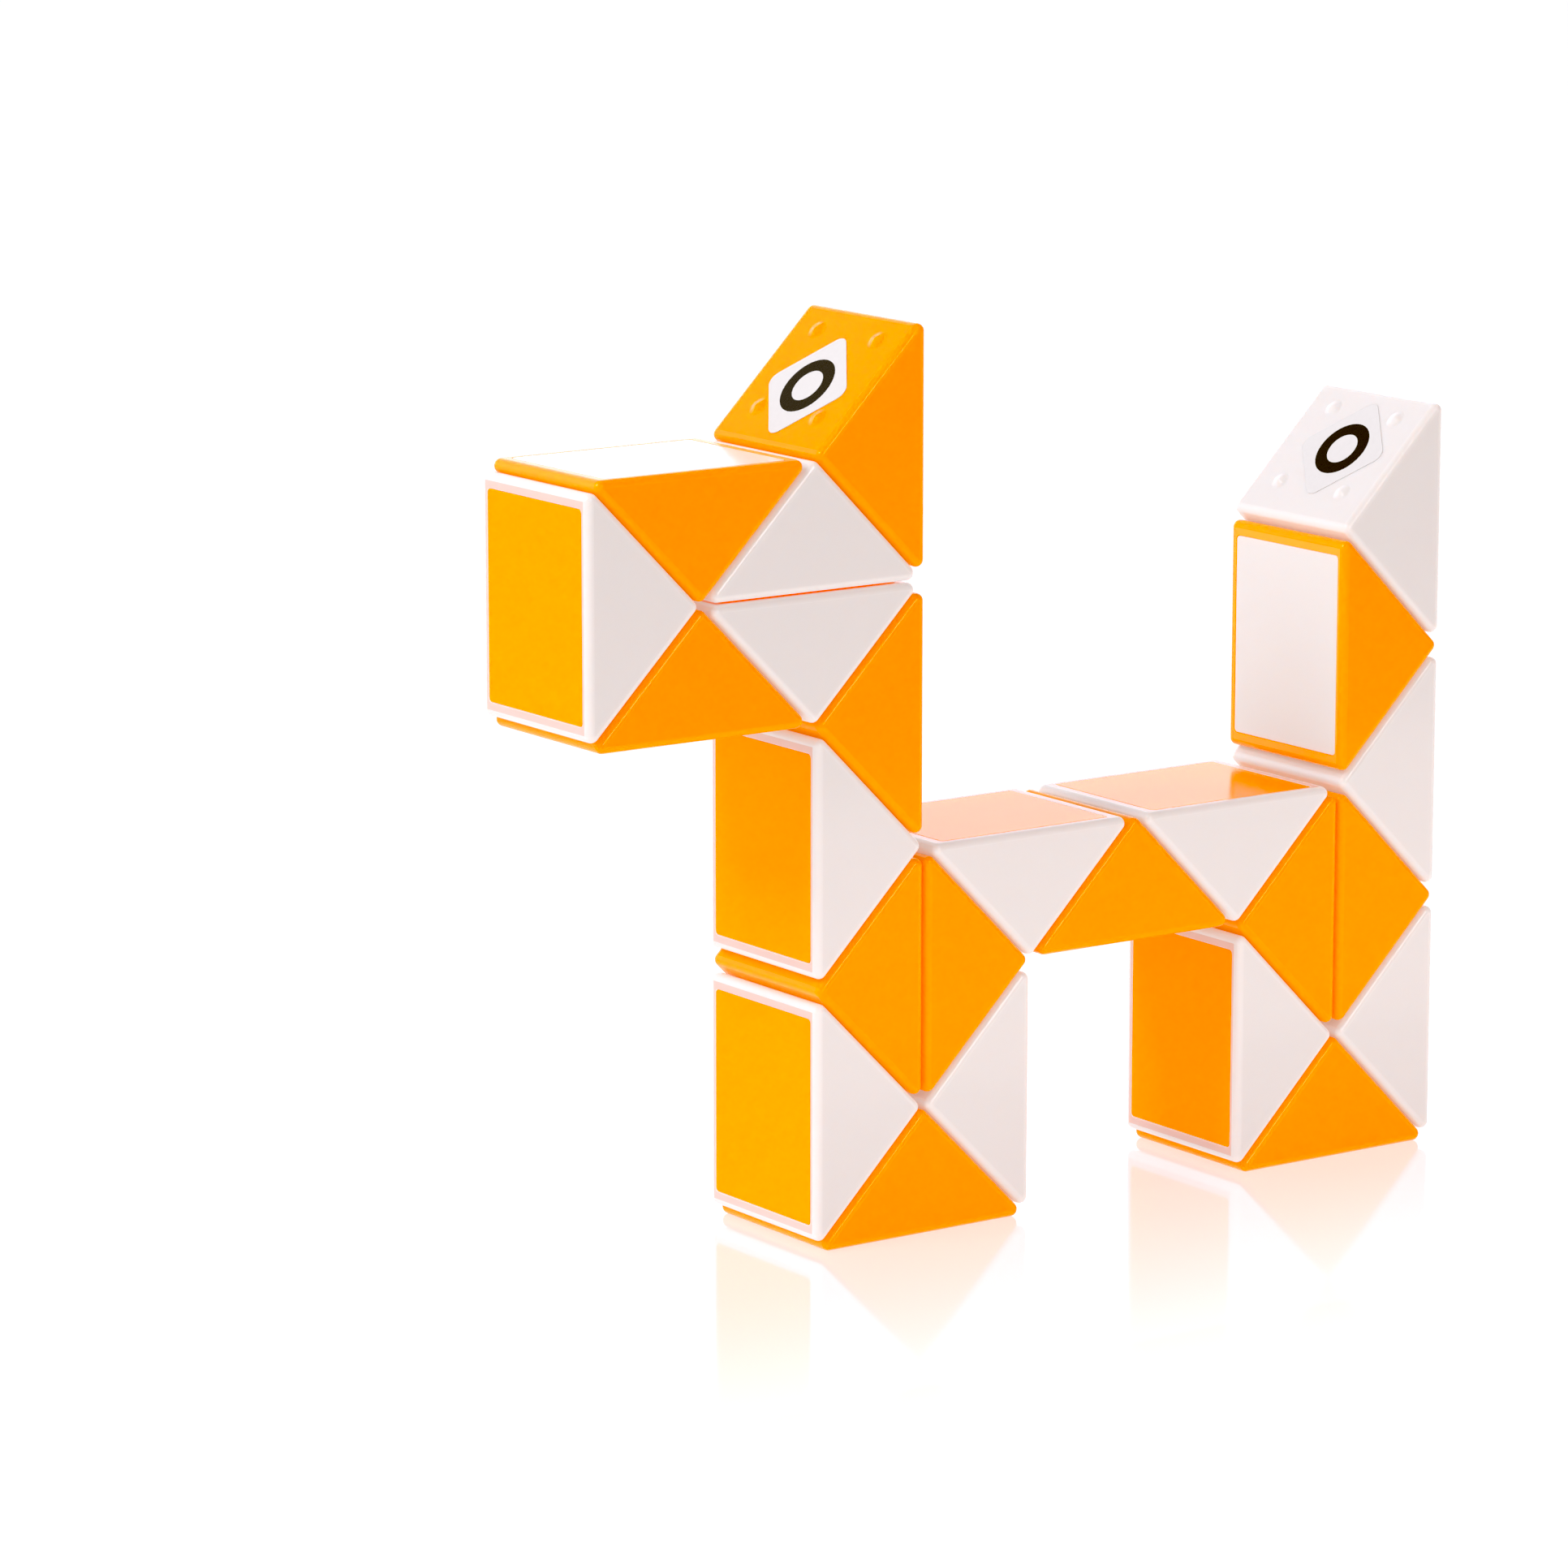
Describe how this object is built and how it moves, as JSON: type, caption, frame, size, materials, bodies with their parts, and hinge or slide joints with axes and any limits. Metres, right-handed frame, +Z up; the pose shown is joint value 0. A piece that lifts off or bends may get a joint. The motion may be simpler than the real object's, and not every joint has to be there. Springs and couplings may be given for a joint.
{
  "type": "twisty snake puzzle",
  "caption": "Chain of two-colour triangular wedges with contrasting cover plates, turning on sprung screws and folded into a standing dog.",
  "frame": {"origin": "on the table under the middle of the dog's length and width", "axes": "+X from the muzzle to the tail, +Z up, the wedges' long axes along Y"},
  "size_m": [0.1242, 0.0218, 0.1065],
  "materials": {
    "orange_plastic": "satin gloss, moulded",
    "white_plastic": "satin gloss, moulded",
    "steel": "zinc plated"
  },
  "bodies": {
    "wedge_01": {"wedge_01_shell": "orange_plastic", "wedge_01_cover": "white_plastic"},
    "wedge_02": {"wedge_02_shell": "white_plastic", "wedge_02_cover": "orange_plastic", "wedge_02_screws": "steel"},
    "wedge_03": {"wedge_03_shell": "orange_plastic", "wedge_03_cover": "white_plastic"},
    "wedge_04": {"wedge_04_shell": "white_plastic", "wedge_04_cover": "orange_plastic", "wedge_04_screws": "steel"},
    "wedge_05": {"wedge_05_shell": "orange_plastic", "wedge_05_cover": "white_plastic"},
    "wedge_06": {"wedge_06_shell": "white_plastic", "wedge_06_cover": "orange_plastic", "wedge_06_screws": "steel"},
    "wedge_07": {"wedge_07_shell": "orange_plastic", "wedge_07_cover": "white_plastic"},
    "wedge_08": {"wedge_08_shell": "white_plastic", "wedge_08_cover": "orange_plastic", "wedge_08_screws": "steel"},
    "wedge_09": {"wedge_09_shell": "orange_plastic", "wedge_09_cover": "white_plastic"},
    "wedge_10": {"wedge_10_shell": "white_plastic", "wedge_10_cover": "orange_plastic", "wedge_10_screws": "steel"},
    "wedge_11": {"wedge_11_shell": "orange_plastic", "wedge_11_cover": "white_plastic"},
    "wedge_12": {"wedge_12_shell": "white_plastic", "wedge_12_cover": "orange_plastic", "wedge_12_screws": "steel"},
    "wedge_13": {"wedge_13_shell": "orange_plastic", "wedge_13_cover": "white_plastic"},
    "wedge_14": {"wedge_14_shell": "white_plastic", "wedge_14_cover": "orange_plastic", "wedge_14_screws": "steel"},
    "wedge_15": {"wedge_15_shell": "orange_plastic", "wedge_15_cover": "white_plastic"},
    "wedge_16": {"wedge_16_shell": "white_plastic", "wedge_16_cover": "orange_plastic", "wedge_16_screws": "steel"},
    "wedge_17": {"wedge_17_shell": "orange_plastic", "wedge_17_cover": "white_plastic"},
    "wedge_18": {"wedge_18_shell": "white_plastic", "wedge_18_cover": "orange_plastic", "wedge_18_screws": "steel"},
    "wedge_19": {"wedge_19_shell": "orange_plastic", "wedge_19_cover": "white_plastic"},
    "wedge_20": {"wedge_20_shell": "white_plastic", "wedge_20_cover": "orange_plastic", "wedge_20_screws": "steel"},
    "wedge_21": {"wedge_21_shell": "orange_plastic", "wedge_21_cover": "white_plastic"},
    "wedge_22": {"wedge_22_shell": "white_plastic", "wedge_22_cover": "orange_plastic", "wedge_22_screws": "steel"},
    "wedge_23": {"wedge_23_shell": "orange_plastic", "wedge_23_cover": "white_plastic"},
    "wedge_24": {"wedge_24_shell": "white_plastic", "wedge_24_cover": "orange_plastic", "wedge_24_screws": "steel"}
  },
  "joints": [
    {"name": "turn_01_02", "type": "hinge", "parent": "wedge_02", "child": "wedge_01", "pos_m": [-0.02333, 0, 0.08544], "axis": [0.7071, 0, 0.7071], "continuous": true},
    {"name": "turn_02_03", "type": "hinge", "parent": "wedge_03", "child": "wedge_02", "pos_m": [-0.03889, 0, 0.08544], "axis": [0.7071, 0, -0.7071], "range_deg": [-1.5, 1.5]},
    {"name": "turn_03_04", "type": "hinge", "parent": "wedge_04", "child": "wedge_03", "pos_m": [-0.05445, 0, 0.08544], "axis": [0.7071, 0, 0.7071], "range_deg": [-1.5, 1.5]},
    {"name": "turn_04_05", "type": "hinge", "parent": "wedge_05", "child": "wedge_04", "pos_m": [-0.05445, 0, 0.06988], "axis": [-0.7071, 0, 0.7071], "range_deg": [-1.5, 1.5]},
    {"name": "turn_05_06", "type": "hinge", "parent": "wedge_06", "child": "wedge_05", "pos_m": [-0.03889, 0, 0.06988], "axis": [-0.7071, 0, -0.7071], "range_deg": [-1.5, 1.5]},
    {"name": "turn_06_07", "type": "hinge", "parent": "wedge_07", "child": "wedge_06", "pos_m": [-0.02333, 0, 0.06988], "axis": [-0.7071, 0, 0.7071], "continuous": true},
    {"name": "turn_07_08", "type": "hinge", "parent": "wedge_08", "child": "wedge_07", "pos_m": [-0.02333, 0, 0.05433], "axis": [0.7071, 0, 0.7071], "range_deg": [-90, 90]},
    {"name": "turn_08_09", "type": "hinge", "parent": "wedge_09", "child": "wedge_08", "pos_m": [-0.02333, 0, 0.03877], "axis": [-0.7071, 0, 0.7071], "continuous": true},
    {"name": "turn_09_10", "type": "hinge", "parent": "wedge_10", "child": "wedge_09", "pos_m": [-0.02333, 0, 0.02321], "axis": [0.7071, 0, 0.7071], "range_deg": [-1.5, 1.5]},
    {"name": "turn_10_11", "type": "hinge", "parent": "wedge_11", "child": "wedge_10", "pos_m": [-0.02333, 0, 0.00766], "axis": [-0.7071, 0, 0.7071], "range_deg": [-1.5, 1.5]},
    {"name": "turn_11_12", "type": "hinge", "parent": "wedge_11", "child": "wedge_12", "pos_m": [-0.00778, 0, 0.00766], "axis": [0.7071, 0, 0.7071], "range_deg": [-1.5, 1.5]},
    {"name": "turn_12_13", "type": "hinge", "parent": "wedge_12", "child": "wedge_13", "pos_m": [-0.00778, 0, 0.02321], "axis": [-0.7071, 0, 0.7071], "range_deg": [-1.5, 1.5]},
    {"name": "turn_13_14", "type": "hinge", "parent": "wedge_13", "child": "wedge_14", "pos_m": [-0.00778, 0, 0.03877], "axis": [0.7071, 0, 0.7071], "range_deg": [-90, 90]},
    {"name": "turn_14_15", "type": "hinge", "parent": "wedge_14", "child": "wedge_15", "pos_m": [0.00778, 0, 0.03877], "axis": [0.7071, 0, -0.7071], "range_deg": [-90, 90]},
    {"name": "turn_15_16", "type": "hinge", "parent": "wedge_15", "child": "wedge_16", "pos_m": [0.02333, 0, 0.03877], "axis": [0.7071, 0, 0.7071], "range_deg": [-90, 90]},
    {"name": "turn_16_17", "type": "hinge", "parent": "wedge_16", "child": "wedge_17", "pos_m": [0.03889, 0, 0.03877], "axis": [0.7071, 0, -0.7071], "range_deg": [-90, 90]},
    {"name": "turn_17_18", "type": "hinge", "parent": "wedge_17", "child": "wedge_18", "pos_m": [0.03889, 0, 0.02321], "axis": [-0.7071, 0, -0.7071], "range_deg": [-1.5, 1.5]},
    {"name": "turn_18_19", "type": "hinge", "parent": "wedge_18", "child": "wedge_19", "pos_m": [0.03889, 0, 0.00766], "axis": [0.7071, 0, -0.7071], "range_deg": [-1.5, 1.5]},
    {"name": "turn_19_20", "type": "hinge", "parent": "wedge_19", "child": "wedge_20", "pos_m": [0.05445, 0, 0.00766], "axis": [0.7071, 0, 0.7071], "range_deg": [-1.5, 1.5]},
    {"name": "turn_20_21", "type": "hinge", "parent": "wedge_20", "child": "wedge_21", "pos_m": [0.05445, 0, 0.02321], "axis": [-0.7071, 0, 0.7071], "range_deg": [-1.5, 1.5]},
    {"name": "turn_21_22", "type": "hinge", "parent": "wedge_21", "child": "wedge_22", "pos_m": [0.05445, 0, 0.03877], "axis": [0.7071, 0, 0.7071], "continuous": true},
    {"name": "turn_22_23", "type": "hinge", "parent": "wedge_22", "child": "wedge_23", "pos_m": [0.05445, 0, 0.05433], "axis": [-0.7071, 0, 0.7071], "range_deg": [-90, 90]},
    {"name": "turn_23_24", "type": "hinge", "parent": "wedge_23", "child": "wedge_24", "pos_m": [0.05445, 0, 0.06988], "axis": [0.7071, 0, 0.7071], "continuous": true}
  ]
}
